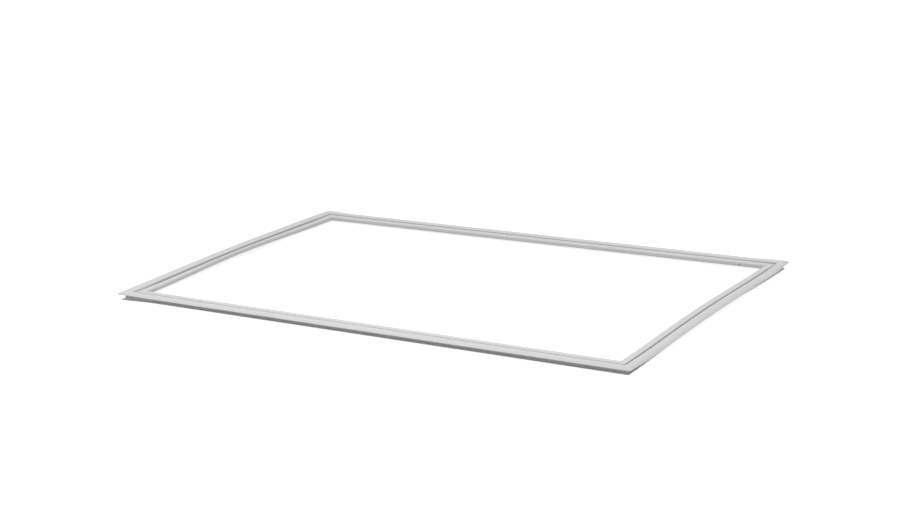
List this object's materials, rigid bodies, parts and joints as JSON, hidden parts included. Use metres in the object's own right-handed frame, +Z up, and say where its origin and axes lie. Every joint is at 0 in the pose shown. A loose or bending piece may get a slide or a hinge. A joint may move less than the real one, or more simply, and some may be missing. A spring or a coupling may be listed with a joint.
{
  "type": "refrigerator door gasket",
  "caption": "Rectangular white door seal ring with a flat magnetic sealing face, an arched outer lip and a flat mounting foot.",
  "frame": {"origin": "under the middle of the ring's bounding box, on the surface that the mounting foot lies on", "axes": "+X along the long sides, towards the short side that bows inward; +Y across; +Z up out of the sealing face"},
  "size_m": [0.9216, 0.5752, 0.0153],
  "materials": {
    "soft_pvc": "satin, off-white",
    "magnet_strip": "matt, dark brown"
  },
  "bodies": {
    "root": {"sealing_profile": "soft_pvc", "magnet_front": "magnet_strip", "magnet_left": "magnet_strip", "magnet_back": "magnet_strip", "magnet_right": "magnet_strip"}
  },
  "joints": []
}
